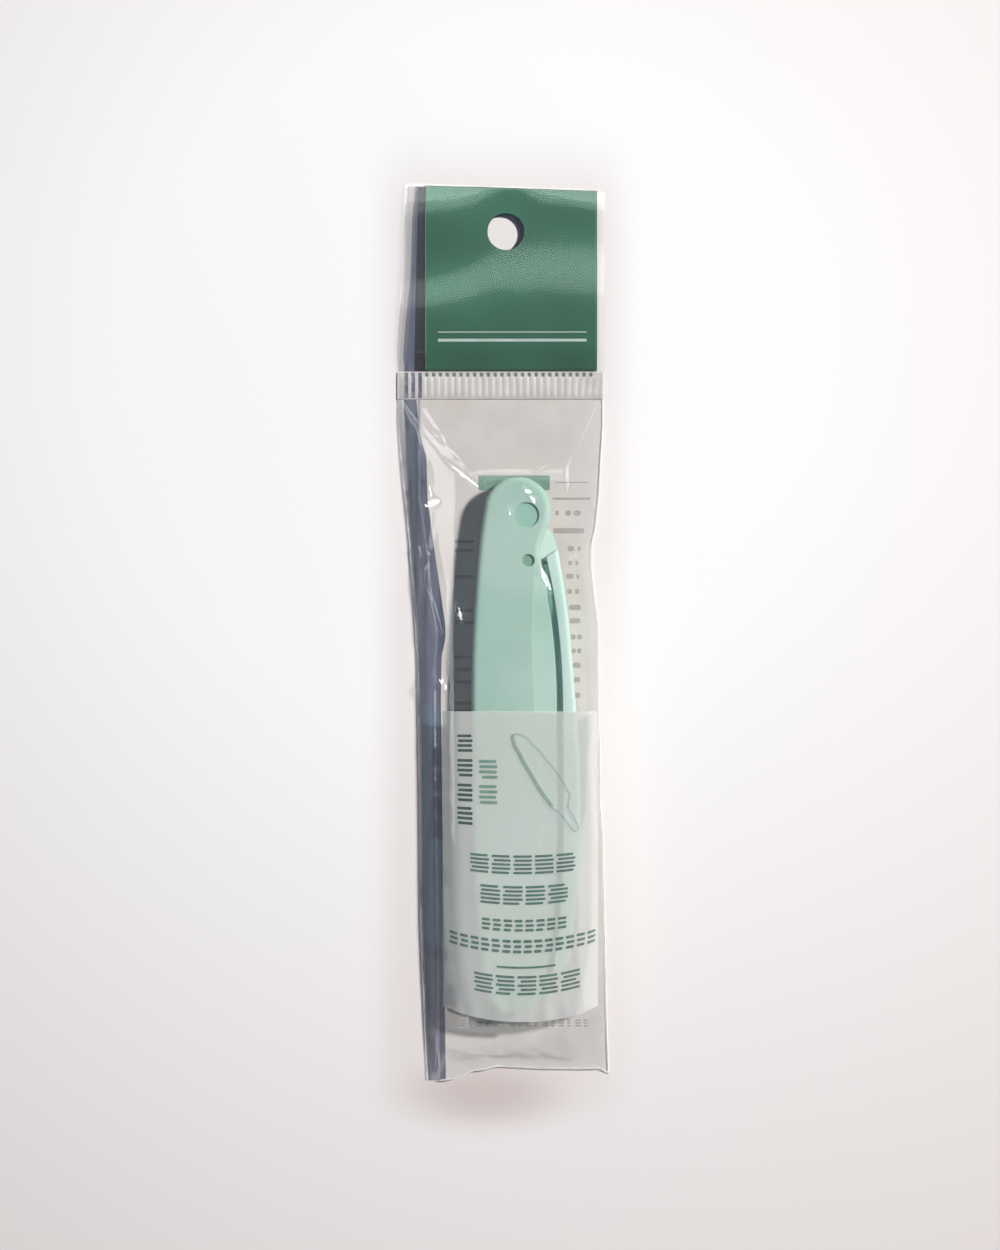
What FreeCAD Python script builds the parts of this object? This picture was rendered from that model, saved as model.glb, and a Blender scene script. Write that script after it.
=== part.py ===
import FreeCAD, Part
import math
import os

# Folding eyebrow razor, closed, lying in the clear retail pouch it is sold in.
# The razor is a two-cheek plastic handle, open along one edge and round its
# head, with a blade arm that swings out of the open edge about a pivot pin.
# The arm carries a thin steel blade whose edge is covered by a comb guard.
# The pouch is two clear films welded along both sides, joined by a ribbed
# heat seal to a folded header film that holds a card with a hang hole.
# Millimetres. X is across the pouch, Y along it towards the header, Z up from
# the table that the pouch lies on. The origin is the middle of the underside.

# Pack
pack_length = 162.0
pack_width = 38.6
header_length = 34.4
seal_length = 4.9
film = 0.12
weld_width = 0.4
overrun = 5.0

# Header card and its hang hole
card_thickness = 0.2
card_width = 31.0
card_right_margin = 1.3
card_top_margin = 0.6
card_bottom_margin = 0.3
header_side_margin = 0.9
header_lean = 1.5
hang_hole_radius = 3.3
hang_hole_x = 0.7
hang_hole_from_top = 9.1

# Heat seal ribs
rib_pitch = 1.23
rib_width = 0.62
rib_height = 0.1

# Handle
razor_length = 96.0
razor_from_seal = 14.1
handle_width = 14.9
handle_thickness = 5.6
cheek = 1.4
spine_wall = 1.6
foot_wall = 3.4
head_radius = 5.9
foot_radius = 5.3
rim_fillet = 1.1
bevel_drop = 0.75
table_gap = 0.75

# Pivot and stop
pivot_x = 4.4
pivot_from_top = 6.8
pivot_radius = 2.25
pivot_sink = 0.45
pivot_play = 0.05
stop_x = 0.3
stop_below_pivot = 8.1
stop_radius = 1.1
stop_sink = 0.5
stop_gap = 0.15
peg_radius = 0.8
peg_length = 1.1
peg_play = 0.05

# Blade arm
arm_thickness = 2.3
tang_radius = 4.3
swing_gap = 0.5
arm_gap = 1.1
arm_fillet = 0.8
neck_length = 8.3
web_edge_x = -0.5
web_top_share = 0.364
web_corner = 2.0

# Blade and guard
blade_length = 45.0
blade_width = 9.0
blade_thickness = 0.25
blade_edge_x = -5.0
blade_from_foot = 11.2
blade_corner = 1.6
blade_bevel = 0.5
guard_thickness = 0.9
guard_depth = 1.9
guard_lip = 0.55
guard_play = 0.03
guard_pitch = 2.2
guard_slot = 1.2

# Film fit
film_gap = 0.3

# Outlines in plan, as rows of stations joined by tangent arcs. A row holds the
# distance below the pivot as a share of the length below it, the distance to
# its right as a share of the handle's width, and the heading in degrees.
spine_edge_shares = [
    (0.457, -0.664, 90),
    (0.172, -0.624, 86),
]
mouth_edge_shares = [
    (0.034, 0.225, -112),
    (0.070, 0.164, -90),
    (0.141, 0.235, -80),
    (0.592, 0.369, -90),
    (0.883, 0.268, -98),
]
neck_outer_shares = [
    (0.030, 0.275, -52),
    (0.066, 0.369, -76),
    (0.130, 0.410, -83),
]
arm_outer_shares = [
    (0.066, 0.369, -79),
    (0.413, 0.604, -86),
    (0.592, 0.644, -90),
    (0.839, 0.550, -99),
    (0.911, 0.416, -150),
]
head_across_share = -0.107
foot_across_share = -0.148
head_ends = (170, -10)
foot_ends = (-10, -170)

# The smallest turn, in degrees, that is drawn as an arc and not as a line.
min_turn = 0.5

# The ridge in the same two shares, and how much of the bevel's drop it has.
ridge_shares = [
    (0.050, 0.120, 0.00),
    (0.105, 0.100, 0.55),
    (0.169, 0.067, 0.90),
    (0.250, 0.054, 1.00),
    (0.388, 0.090, 1.00),
    (0.573, 0.140, 1.00),
    (0.775, 0.120, 1.00),
    (0.940, 0.020, 0.00),
]

# Pouch stations from the seal to the mouth. Each row holds the place along
# the pouch as a share of its length, then the film's left and right edges and
# the flat top's left and right ends as shares of half the width, and the
# heights of the side welds and of the flat top as shares of their rise.
pouch_shares = [
    (0.000, -1.000, 0.960, -0.950, 0.910, 0.00, 0.00),
    (0.055, -0.975, 0.955, -0.610, 0.730, 0.08, 0.50),
    (0.106, -0.945, 0.950, -0.270, 0.560, 0.18, 1.00),
    (0.200, -0.880, 0.940, -0.345, 0.665, 0.26, 1.00),
    (0.360, -0.800, 0.935, -0.385, 0.775, 0.30, 1.00),
    (0.600, -0.770, 0.950, -0.380, 0.840, 0.30, 1.00),
    (0.800, -0.760, 0.960, -0.345, 0.810, 0.30, 1.00),
    (0.912, -0.750, 0.975, -0.250, 0.640, 0.26, 1.00),
    (0.945, -0.735, 0.985, -0.330, 0.700, 0.18, 0.66),
    (0.972, -0.722, 0.992, -0.450, 0.800, 0.10, 0.30),
    (1.000, -0.710, 1.000, -0.600, 0.880, 0.03, 0.06),
]

# Places worked out from the sizes above
top_y = pack_length / 2
seal_top_y = top_y - header_length
seal_bottom_y = seal_top_y - seal_length
pouch_length = seal_bottom_y + pack_length / 2
half_span = pack_width / 2 - weld_width
stack = 2 * film + card_thickness
razor_top_y = seal_bottom_y - razor_from_seal
pivot_y = razor_top_y - pivot_from_top
below_pivot = razor_length - pivot_from_top
handle_bottom_z = table_gap
handle_top_z = handle_bottom_z + handle_thickness
middle_z = handle_bottom_z + handle_thickness / 2
slot_gap = handle_thickness - 2 * cheek
front_top_z = handle_top_z + film_gap + film
seal_middle_z = stack / 2


def vec(x, y, z):
    return FreeCAD.Vector(x, y, z)


def by_share(along, across, z):
    """A point of an outline, from its two shares, measured from the pivot."""
    return vec(pivot_x + across * handle_width, pivot_y - along * below_pivot, z)


def heading(degrees):
    turn = math.radians(degrees)
    return vec(math.cos(turn), math.sin(turn), 0)


def stations(rows, z=0):
    """Points with their headings, from rows of shares."""
    return [(by_share(along, across, z), heading(way)) for along, across, way in rows]


def round_stations(centre, radius, angles):
    """Stations on a circle that is followed clockwise."""
    return [(centre + heading(a) * radius, heading(a - 90)) for a in angles]


def box(x0, x1, y0, y1, z0, z1):
    return Part.makeBox(x1 - x0, y1 - y0, z1 - z0, vec(x0, y0, z0))


def rod(x, y, radius, z0, z1):
    return Part.makeCylinder(radius, z1 - z0, vec(x, y, z0))


def line(a, b):
    return Part.LineSegment(a, b).toShape()


def unit(v):
    return v / v.Length


def arc_from(a, tangent, b):
    """The arc that leaves a along a tangent and ends at b."""
    chord = b - a
    across = tangent - unit(chord) * tangent.dot(unit(chord))
    if across.Length < math.radians(min_turn):
        return line(a, b)
    bend = tangent.getAngle(chord)
    middle = (a + b) / 2 + unit(across) * (chord.Length / 2 * math.tan(bend / 2))
    return Part.Arc(a, middle, b).toShape()


def pair_of_arcs(a, leave, b, arrive):
    """Two tangent arcs from a to b that leave and arrive along the given tangents."""
    chord = b - a
    both = leave + arrive
    turn = 2 * (1 - leave.dot(arrive))
    along = chord.dot(both)
    if turn < math.radians(min_turn) ** 2:
        reach = chord.dot(chord) / (2 * along)
    else:
        reach = (math.sqrt(along * along + turn * chord.dot(chord)) - along) / turn
    first = a + leave * reach
    joint = (first + b - arrive * reach) / 2
    return [arc_from(a, leave, joint), arc_from(joint, unit(joint - first), b)]


def smooth(rows, closed=False):
    """A chain of tangent arcs through stations."""
    edges = []
    follow = rows[1:] + rows[:1] if closed else rows[1:]
    for (a, leave), (b, arrive) in zip(rows, follow):
        edges += pair_of_arcs(a, leave, b, arrive)
    return edges


def prism(edges, z0, z1):
    """A closed outline at any height, made a solid between two heights."""
    face = Part.Face(Part.Wire(edges))
    face.translate(vec(0, 0, z0 - face.BoundBox.ZMin))
    return face.extrude(vec(0, 0, z1 - z0))


def slab(points, z0, z1):
    """A solid with straight sides, from its corners in plan."""
    corners = [vec(x, y, z0) for x, y in points]
    corners.append(corners[0])
    return Part.Face(Part.makePolygon(corners)).extrude(vec(0, 0, z1 - z0))


def round_upright_edges(solid, radius, keep):
    """Rounds the upright edges that keep(point) picks out."""
    picked = []
    for edge in solid.Edges:
        a, b = edge.Vertexes[0].Point, edge.Vertexes[-1].Point
        upright = math.hypot(a.x - b.x, a.y - b.y) < radius / 100
        if upright and abs(a.z - b.z) > 0 and keep(a):
            picked.append(edge)
    return solid.makeFillet(radius, picked)


def at_level(edge, z):
    return max(abs(edge.BoundBox.ZMin - z), abs(edge.BoundBox.ZMax - z)) < film / 2


def export(shape, node):
    shape.exportStep(os.path.join("parts", node + ".step"))


# Handle: two mirrored cheeks that meet on the spine and at the foot
def handle_outline():
    """The closed outline: up the spine, round the head, down the mouth edge."""
    rows = stations(spine_edge_shares) + head_stations() + stations(mouth_edge_shares)
    return smooth(rows + foot_stations(), closed=True)


def head_centre():
    return vec(pivot_x + head_across_share * handle_width, razor_top_y - head_radius, 0)


def foot_centre():
    bottom = pivot_y - below_pivot
    return vec(pivot_x + foot_across_share * handle_width, bottom + foot_radius, 0)


def head_stations():
    return round_stations(head_centre(), head_radius, head_ends)


def foot_stations():
    return round_stations(foot_centre(), foot_radius, foot_ends)


def bevel_tool():
    """A wedge that slopes the cheek from the ridge down to the mouth edge."""
    reach = overrun + arm_gap
    sections = []
    for along, across, depth in ridge_shares:
        ridge = by_share(along, across, handle_top_z)
        mouth = by_share(along, mouth_across(along), handle_top_z)
        fall = depth * bevel_drop * (reach + mouth.x - ridge.x) / (mouth.x - ridge.x)
        low = vec(mouth.x + reach, ridge.y, handle_top_z - fall)
        high = vec(mouth.x + reach, ridge.y, handle_top_z + bevel_drop)
        over = vec(ridge.x, ridge.y, handle_top_z + bevel_drop)
        sections.append(Part.makePolygon([ridge, low, high, over, ridge]))
    return Part.makeLoft(sections, True, True)


def mouth_across(along):
    """The mouth edge's across share at a place along it."""
    rows = mouth_edge_shares
    for (a0, c0, _), (a1, c1, _) in zip(rows, rows[1:]):
        if along <= a1:
            return c0 + (c1 - c0) * (along - a0) / (a1 - a0)
    return rows[-1][1]


def handle_half():
    """The upper cheek, with half of the spine and foot under it."""
    outline = handle_outline()
    body = prism(outline, middle_z, handle_top_z)
    body = body.makeFillet(rim_fillet, [e for e in body.Edges if at_level(e, handle_top_z)])
    body = body.cut(bevel_tool())
    hollow = prism(outline, middle_z - overrun, middle_z + slot_gap / 2)
    hollow.translate(vec(spine_wall, foot_wall, 0))
    head_mouth = box(
        pivot_x - handle_width,
        pivot_x + handle_width,
        pivot_y,
        razor_top_y + overrun,
        middle_z - overrun,
        middle_z + slot_gap / 2,
    )
    body = body.cut(hollow).cut(head_mouth)
    body = body.cut(rod(pivot_x, pivot_y, pivot_radius, middle_z, handle_top_z + overrun))
    stop_y = pivot_y - stop_below_pivot
    body = body.cut(rod(pivot_x + stop_x, stop_y, stop_radius, middle_z, handle_top_z + overrun))
    return body


def make_handle():
    upper = handle_half()
    lower = upper.mirror(vec(0, 0, middle_z), vec(0, 0, 1))
    x = foot_centre().x
    y = foot_centre().y - foot_radius + foot_wall / 2
    socket = rod(x, y, peg_radius + peg_play, middle_z - overrun, middle_z + peg_length + peg_play)
    peg = rod(x, y, peg_radius, middle_z - peg_length, middle_z + peg_length)
    export(upper.cut(socket), "handle_front")
    export(lower.fuse(peg).removeSplitter(), "handle_back")


def make_pins():
    """The pivot pin and the stop pin, both sunk a little below the cheeks."""
    pivot = rod(
        pivot_x, pivot_y, pivot_radius, handle_bottom_z + pivot_sink, handle_top_z - pivot_sink
    )
    stop_y = pivot_y - stop_below_pivot
    stop = rod(
        pivot_x + stop_x, stop_y, stop_radius, handle_bottom_z + stop_sink, handle_top_z - stop_sink
    )
    export(pivot, "pivot_pin")
    export(stop, "stop_pin")


# Blade arm: tang, neck, thick back and thin web in one moulding
def blade_box():
    """The blade's left, right, low and high limits in plan."""
    left = pivot_x + blade_edge_x
    low = pivot_y - below_pivot + blade_from_foot
    return left, left + blade_width, low, low + blade_length


def arm_inner():
    """The back's inner edge: the handle's mouth edge, moved out by arm_gap."""
    rows = head_stations()[1:] + stations(mouth_edge_shares) + foot_stations()[:1]
    return [(point + vec(arm_gap, 0, 0), way) for point, way in rows]


def left_of(rows):
    """An outline from one smooth curve to a straight line well to its left."""
    top, bottom = rows[0][0], rows[-1][0]
    high = top - vec(2 * handle_width, 0, 0)
    low = vec(high.x, bottom.y, 0)
    return smooth(rows) + [line(bottom, low), line(low, high), line(high, top)]


def arm_back():
    """The thick back that lies outside the handle's mouth."""
    body = prism(left_of(stations(arm_outer_shares)), handle_bottom_z, handle_top_z)
    for level in (handle_bottom_z, handle_top_z):
        rims = [e for e in body.Edges if at_level(e, level) and e.BoundBox.XMin > pivot_x]
        body = body.makeFillet(arm_fillet, rims)
    handle_room = prism(left_of(arm_inner()), handle_bottom_z - overrun, handle_top_z + overrun)
    return body.cut([handle_room, swing_room()])


def swing_room():
    """The space round the pivot that the handle's head takes as the arm swings."""
    offset = head_centre() - vec(pivot_x, pivot_y, 0)
    reach = offset.Length + head_radius + swing_gap
    return rod(pivot_x, pivot_y, reach, handle_bottom_z - overrun, handle_top_z + overrun)


def arm_plate(z0, z1):
    """The thin tang and neck between the cheeks, up to the thick back."""
    tang = rod(pivot_x, pivot_y, tang_radius, z0, z1)
    outer = stations(neck_outer_shares, z0)
    first, last = outer[0][0], outer[-1][0]
    stop_side = pivot_x + stop_x + stop_radius + stop_gap
    neck_y = pivot_y - neck_length
    end = last - vec(arm_gap, 0, 0)
    start = vec(pivot_x, pivot_y, z0)
    edges = [
        line(start, first),
        *smooth(outer),
        line(last, end),
        line(end, vec(end.x, neck_y, z0)),
        line(vec(end.x, neck_y, z0), vec(stop_side, neck_y, z0)),
        line(vec(stop_side, neck_y, z0), vec(stop_side, pivot_y - tang_radius / 2, z0)),
        line(vec(stop_side, pivot_y - tang_radius / 2, z0), start),
    ]
    return tang.fuse(prism(edges, z0, z1))


def arm_web(z0, z1):
    """The thin web that carries the blade, from the back into the handle."""
    left, right, low, high = blade_box()
    left = pivot_x + web_edge_x
    top = high + web_top_share * (pivot_y - neck_length - high)
    bottom = low - web_corner
    inner = [point for point, way in arm_inner()]
    reach = arm_gap
    side = [(p.x + reach, p.y) for p in inner if bottom < p.y < top]
    outline = [(left, top), (left, bottom)]
    outline += [(edge_x(inner, bottom) + reach, bottom)]
    outline += side[::-1]
    outline += [(edge_x(inner, top) + reach, top)]
    web = slab(outline, z0, z1)
    return round_upright_edges(web, web_corner, lambda p: p.x < left + web_corner)


def edge_x(points, y):
    """Where a row of points, taken as straight runs, crosses a height y."""
    for a, b in zip(points, points[1:]):
        if b.y <= y <= a.y:
            return a.x + (b.x - a.x) * (a.y - y) / (a.y - b.y)
    return points[-1].x


def make_arm():
    z0 = middle_z - arm_thickness / 2
    z1 = middle_z + arm_thickness / 2
    arm = arm_back().fuse([arm_plate(z0, z1), arm_web(z0, z1)]).removeSplitter()
    arm = arm.cut(rod(pivot_x, pivot_y, pivot_radius + pivot_play, z0 - overrun, z1 + overrun))
    export(arm.cut(blade_blank()), "blade_arm")


# Blade and guard
def blade_blank():
    """The blade before its edge is ground, with rounded corners."""
    left, right, low, high = blade_box()
    blank = box(
        left, right, low, high, middle_z - blade_thickness / 2, middle_z + blade_thickness / 2
    )
    return round_upright_edges(blank, blade_corner, lambda p: True)


def make_blade():
    left, right, low, high = blade_box()
    half = blade_thickness / 2
    blade = blade_blank()
    for side in (1, -1):
        face_z = middle_z + side * half
        over_z = face_z + side * blade_thickness
        wedge = Part.makePolygon(
            [
                vec(left, low - overrun, middle_z),
                vec(left + blade_bevel, low - overrun, face_z),
                vec(left + blade_bevel, low - overrun, over_z),
                vec(left - overrun, low - overrun, over_z),
                vec(left - overrun, low - overrun, middle_z),
                vec(left, low - overrun, middle_z),
            ]
        )
        grind = Part.Face(wedge).extrude(vec(0, blade_length + 2 * overrun, 0))
        blade = blade.cut(grind)
    export(blade, "blade")


def make_guard():
    """A comb folded over the edge: a channel with slots sawn through it."""
    left, right, low, high = blade_box()
    nose = left - guard_lip
    low_end = low + blade_corner
    high_end = high - blade_corner
    guard = box(
        nose,
        nose + guard_depth,
        low_end,
        high_end,
        middle_z - guard_thickness / 2,
        middle_z + guard_thickness / 2,
    )
    channel = box(
        left - guard_play,
        right,
        low_end - overrun,
        high_end + overrun,
        middle_z - blade_thickness / 2 - guard_play,
        middle_z + blade_thickness / 2 + guard_play,
    )
    guard = guard.cut(channel)
    slot_length = guard_depth - guard_lip
    count = int((high_end - low_end - guard_slot) / guard_pitch)
    first = (low_end + high_end) / 2 - (count - 1) * guard_pitch / 2
    leaves = [
        (middle_z + blade_thickness / 2, middle_z + guard_thickness),
        (middle_z - guard_thickness, middle_z - blade_thickness / 2),
    ]
    slots = []
    for i in range(count):
        y = first + i * guard_pitch
        y0, y1 = y - guard_slot / 2, y + guard_slot / 2
        slots += [box(nose - overrun, nose + slot_length, y0, y1, z0, z1) for z0, z1 in leaves]
    export(guard.cut(slots), "guard_comb")


# Pouch films: hollow shells through the stations, one over and one under
def pouch_station(row):
    """The film's edges, flat ends and heights at one place along the pouch."""
    along, left, right, flat_left, flat_right, seam, rise = row
    return {
        "y": seal_bottom_y - along * pouch_length,
        "left": left * half_span,
        "right": right * half_span,
        "flat_left": flat_left * half_span,
        "flat_right": flat_right * half_span,
        "seam": seal_middle_z + seam * (middle_z - seal_middle_z),
        "top": stack + rise * (front_top_z - stack),
    }


def skin(sections):
    """A solid through rows of corners: flat triangles between, and flat ends.

    The second half of a row runs back over the first half, so its squares are
    split along the other diagonal, and the wall keeps its thickness.
    """
    faces = []
    for near, far in zip(sections, sections[1:]):
        for i in range(len(near)):
            j = (i + 1) % len(near)
            halves = [near[i], near[j], far[j]], [near[i], far[j], far[i]]
            if i >= len(near) // 2:
                halves = [near[i], near[j], far[i]], [near[j], far[j], far[i]]
            for corners in halves:
                faces.append(Part.Face(Part.makePolygon(corners + corners[:1])))
    for end in (sections[0], sections[-1]):
        faces.append(Part.Face(Part.makePolygon(end + end[:1])))
    shell = Part.makeShell(faces)
    shell.sewShape()
    solid = Part.makeSolid(shell)
    if solid.Volume < 0:
        solid.reverse()
    return solid.removeSplitter()


def film_section(s, low, high, flat):
    """One closed section of a film, from its left end along its under side."""
    under = [
        vec(s["left"], s["y"], low),
        vec(s["flat_left"], s["y"], flat),
        vec(s["flat_right"], s["y"], flat),
        vec(s["right"], s["y"], low),
    ]
    over = [
        vec(s["right"], s["y"], high),
        vec(s["flat_right"], s["y"], flat + film),
        vec(s["flat_left"], s["y"], flat + film),
        vec(s["left"], s["y"], high),
    ]
    return under + over


def make_films():
    rows = [pouch_station(row) for row in pouch_shares]
    front = [film_section(s, s["seam"], s["seam"] + film, s["top"] - film) for s in rows]
    back = [film_section(s, s["seam"] - film, s["seam"], 0) for s in rows]
    export(skin(front), "pouch_front_film")
    export(skin(back), "pouch_back_film")
    for side, node in (("left", "left_side_weld"), ("right", "right_side_weld")):
        out = weld_width if side == "right" else -weld_width
        sections = []
        for s in rows:
            corners = [
                vec(s[side], s["y"], s["seam"] - film),
                vec(s[side] + out, s["y"], s["seam"] - film),
                vec(s[side] + out, s["y"], s["seam"] + film),
                vec(s[side], s["y"], s["seam"] + film),
            ]
            sections.append(corners)
        export(skin(sections), node)


# Heat seal and header
def make_seal():
    """The band where every layer is welded, with its upright ribs."""
    left = pouch_shares[0][1] * half_span
    right = pouch_shares[0][2] * half_span
    band = box(left, right, seal_bottom_y, seal_top_y, 0, stack)
    count = int((right - left) / rib_pitch)
    first = (left + right) / 2 - (count - 1) * rib_pitch / 2
    ribs = []
    for i in range(count):
        x = first + i * rib_pitch
        ribs.append(
            box(
                x - rib_width / 2,
                x + rib_width / 2,
                seal_bottom_y + rib_width,
                seal_top_y - rib_width,
                stack - film,
                stack + rib_height,
            )
        )
    export(band.fuse(ribs).removeSplitter(), "top_seal")


def hang_hole():
    return rod(hang_hole_x, top_y - hang_hole_from_top, hang_hole_radius, -overrun, overrun)


def make_header():
    """The folded header film and the card in its pocket."""
    left = pouch_shares[0][1] * half_span
    right = pack_width / 2 - header_side_margin
    outline = [
        (left, seal_top_y),
        (right, seal_top_y),
        (right, top_y),
        (left + header_lean, top_y),
    ]
    strip = slab(outline, 0, stack)
    pocket = box(
        left - overrun,
        right + overrun,
        seal_top_y - overrun,
        top_y - film,
        film,
        film + card_thickness,
    )
    export(strip.cut(pocket).cut(hang_hole()), "header_film")
    card_right = pack_width / 2 - header_side_margin - card_right_margin
    card = box(
        card_right - card_width,
        card_right,
        seal_top_y + card_bottom_margin,
        top_y - card_top_margin,
        film,
        film + card_thickness,
    )
    export(card.cut(hang_hole()), "header_card")


os.makedirs("parts", exist_ok=True)
make_handle()
make_pins()
make_arm()
make_blade()
make_guard()
make_films()
make_seal()
make_header()
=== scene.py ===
import bisect
import functools
import math

import bmesh
import bpy
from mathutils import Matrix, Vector, noise


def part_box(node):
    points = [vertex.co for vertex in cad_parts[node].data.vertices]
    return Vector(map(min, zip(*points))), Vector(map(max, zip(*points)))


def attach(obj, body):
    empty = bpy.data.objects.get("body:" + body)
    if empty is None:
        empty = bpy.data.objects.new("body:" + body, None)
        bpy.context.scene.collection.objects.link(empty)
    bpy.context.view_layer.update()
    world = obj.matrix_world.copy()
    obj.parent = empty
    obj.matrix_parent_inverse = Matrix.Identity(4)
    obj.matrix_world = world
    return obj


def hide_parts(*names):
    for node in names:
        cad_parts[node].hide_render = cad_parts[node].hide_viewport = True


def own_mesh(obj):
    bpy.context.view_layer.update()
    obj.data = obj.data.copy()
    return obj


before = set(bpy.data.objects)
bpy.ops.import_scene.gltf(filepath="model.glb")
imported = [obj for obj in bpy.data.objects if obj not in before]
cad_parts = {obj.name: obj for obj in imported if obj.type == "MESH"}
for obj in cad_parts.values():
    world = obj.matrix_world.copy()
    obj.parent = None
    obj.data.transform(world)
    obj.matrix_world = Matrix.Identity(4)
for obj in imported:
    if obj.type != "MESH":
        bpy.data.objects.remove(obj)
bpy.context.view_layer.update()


# Handle: two moulded cheeks of mint-green ABS, snapped together on the spine
# and at the foot. They come straight from a lightly eroded mould, so the skin
# is satin, with a fine grain and a faint drift of tone where the melt flowed.
mm = 0.001
flow_size = 14
grain_size = 0.35
grain_height = 0.006


def colour(text):
    """A linear colour, with full alpha, from an sRGB hex value."""
    parts = [int(text[i : i + 2], 16) / 255 for i in (1, 3, 5)]
    linear = [p / 12.92 if p <= 0.04045 else ((p + 0.055) / 1.055) ** 2.4 for p in parts]
    return (*linear, 1.0)


def start_finish(name):
    """A new finish: its material and its empty node tree."""
    material = bpy.data.materials.new(name)
    material.use_nodes = True
    material.node_tree.nodes.clear()
    return material, material.node_tree


def add(tree, kind, inputs={}, **settings):
    """Adds a node with its settings, and fills its inputs with values or links."""
    node = tree.nodes.new("ShaderNode" + kind)
    for name, value in settings.items():
        setattr(node, name, value)
    for socket, value in inputs.items():
        if isinstance(value, bpy.types.NodeSocket):
            tree.links.new(value, node.inputs[socket])
        else:
            node.inputs[socket].default_value = value
    return node


def finished(material, surface):
    """Ends a finish with the node that makes its surface."""
    add(material.node_tree, "OutputMaterial", {"Surface": surface.outputs[0]})
    return material


def noise_of(tree, size, detail=2.0, stretch=(1, 1, 1)):
    """A noise whose features are about size millimetres across, before stretching."""
    place = add(tree, "TexCoord").outputs["Object"]
    scaled = add(tree, "Mapping", {"Vector": place, "Scale": stretch})
    return add(
        tree, "TexNoise", {"Vector": scaled.outputs[0], "Scale": 1 / (size * mm), "Detail": detail}
    ).outputs["Fac"]


def between(tree, factor, low, high, start=0.35, end=0.65):
    """A colour that runs from low to high as the factor goes from start to end."""
    share = add(
        tree, "MapRange", {"Value": factor, "From Min": start, "From Max": end}, clamp=True
    )
    mix = add(
        tree, "Mix", {0: share.outputs[0], 6: colour(low), 7: colour(high)}, data_type="RGBA"
    )
    return mix.outputs[2]


def relief(tree, factor, height):
    """A bump of that height in millimetres, as a normal."""
    return add(
        tree, "Bump", {"Height": factor, "Strength": 1.0, "Distance": height * mm}
    ).outputs["Normal"]


def moulded_abs(name, deep, pale, roughness):
    """Moulded ABS: satin, a touch translucent at its thin edges, with a fine eroded grain."""
    material, tree = start_finish(name)
    tone = between(tree, noise_of(tree, flow_size), deep, pale)
    grain = noise_of(tree, grain_size, 3.0)
    skin = add(
        tree,
        "BsdfPrincipled",
        {
            "Base Color": tone,
            "Roughness": roughness,
            "IOR": 1.54,
            "Specular IOR Level": 0.2,
            "Subsurface Weight": 0.4,
            "Subsurface Radius": (0.45, 1.0, 0.75),
            "Subsurface Scale": 2.0 * mm,
            "Normal": relief(tree, grain, grain_height),
        },
    )
    return finished(material, skin)


def dress(node, material):
    """Gives a carried-over node its finish."""
    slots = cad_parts[node].data.materials
    slots.clear()
    slots.append(material)


handle_abs = moulded_abs("eroded mint ABS", "#a0c2b0", "#b2cbbc", 0.42)
dress("handle_front", handle_abs)
dress("handle_back", handle_abs)


# Pins: the pivot and the stop are moulded from the same mint ABS, but come from
# a polished cavity and sit a little below the cheek, so they read smoother and
# a shade greener, with a dark ring round them. The stop pin's darker green is painted shade of its
# recess.
dress("pivot_pin", moulded_abs("polished mint ABS", "#93bda9", "#9cc4b1", 0.3))
dress("stop_pin", moulded_abs("mint ABS with painted recess shade", "#6f9a85", "#7ca590", 0.3))


# Blade arm: one moulding of mint ABS in a slightly paler batch than the handle.
# Its thick back shows beside the handle's open edge.
arm_abs = moulded_abs("pale mint ABS", "#bedbcb", "#cee2d6", 0.45)
dress("blade_arm", arm_abs)

# The arm's thin web rises in a ramp to the thick back. It fills the right half of
# the slot. Its deeper green is painted shade of the slot, darker than the back's mint.
web_top, web_bottom = 6.1, 3.8
web_ramp, web_lip = 0.4, 0.1
web_edge = 0.08
# Each row holds a place along the arm, the left and right side, and the height at left.
web_line = [
    (12.1, 7.12, 8.18, 5.0),
    (9.0, 7.78, 8.83, 5.0),
    (6.6, 8.2, 9.25, 5.6),
    (4.5, 8.55, 9.6, 5.6),
    (2.0, 8.88, 9.93, 5.1),
    (0.0, 9.13, 10.18, 5.1),
    (-4.0, 9.48, 10.53, 5.1),
    (-8.0, 9.73, 10.78, 5.1),
    (-12.0, 9.83, 10.88, 5.1),
    (-20.0, 9.88, 10.93, 5.1),
    (-32.0, 9.93, 10.98, 5.1),
    (-40.0, 9.83, 10.88, 5.1),
    (-48.0, 9.48, 10.53, 5.1),
    (-56.0, 8.68, 9.78, 5.1),
]


def join_rings(bm, rings, flip=False):
    """Joins each closed ring of points to the next with faces, either way up."""
    for near, far in zip(rings, rings[1:]):
        for i in range(len(near)):
            j = (i + 1) % len(near)
            if flip:
                bm.faces.new((near[i], far[i], far[j], near[j]))
            else:
                bm.faces.new((near[i], near[j], far[j], far[i]))


scene = bpy.context.scene


def make_piece(name, bm, material):
    """Turns a built mesh into an object of that material."""
    mesh = bpy.data.meshes.new(name)
    bm.to_mesh(mesh)
    bm.free()
    mesh.materials.append(material)
    piece = bpy.data.objects.new(name, mesh)
    scene.collection.objects.link(piece)
    return piece


web = bmesh.new()
web_rings = [
    [
        web.verts.new(Vector((x, y, z)) * mm)
        for x, z in (
            (left, low),
            (left + web_ramp, low + web_lip),
            (right, web_top),
            (right, web_bottom),
            (left, web_bottom),
        )
    ]
    for y, left, right, low in web_line
]
join_rings(web, web_rings)
web.faces.new(web_rings[0][::-1])
web.faces.new(web_rings[-1])
web_shade_abs = moulded_abs("mint web with painted slot shade", "#7fc0ab", "#90cab6", 0.45)
web_end = make_piece("arm_web_end", web, web_shade_abs)
rounded = web_end.modifiers.new("rounded edges", "BEVEL")
rounded.width = web_edge * mm
rounded.segments = 2
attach(web_end, "arm")


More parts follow.
